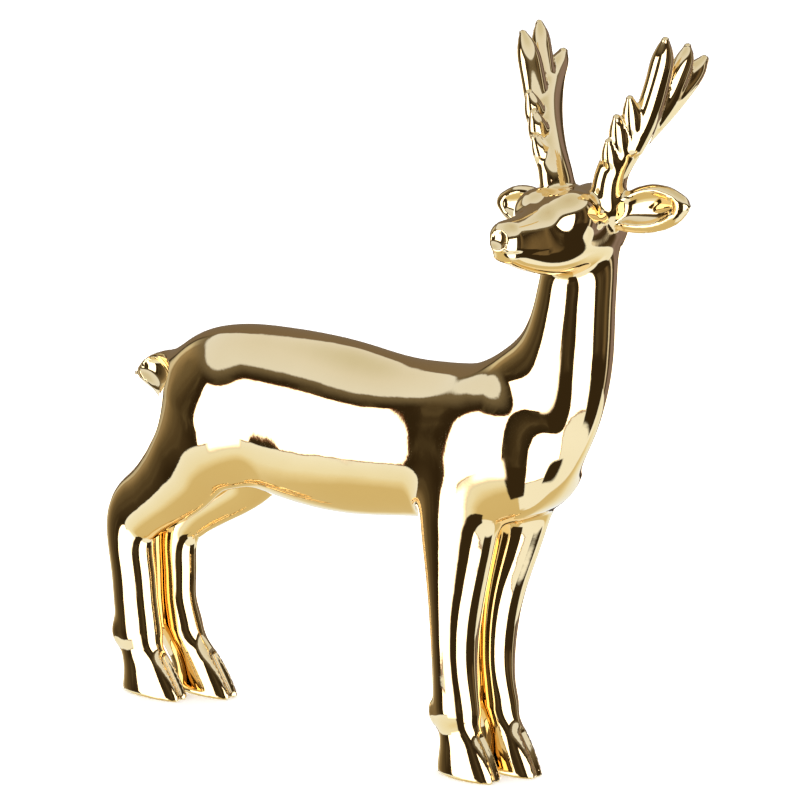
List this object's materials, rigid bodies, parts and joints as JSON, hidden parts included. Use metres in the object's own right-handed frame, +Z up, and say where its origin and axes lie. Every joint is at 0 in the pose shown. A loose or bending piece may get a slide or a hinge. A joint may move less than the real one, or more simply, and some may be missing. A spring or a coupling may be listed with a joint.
{
  "type": "deer figurine",
  "caption": "Standing deer figurine with its head turned to its right, upright ears and branched antlers, cast in one piece with a mirror-gold finish.",
  "frame": {"origin": "bottom centre of the figurine's box, level with the soles of the hooves", "axes": "+X the way the deer's body points, +Y to the deer's left, +Z up"},
  "size_m": [0.229, 0.0706, 0.24],
  "materials": {
    "mirror_gold": "mirror gold plated over a smooth glaze"
  },
  "bodies": {
    "root": {"deer_figurine": "mirror_gold"}
  },
  "joints": []
}
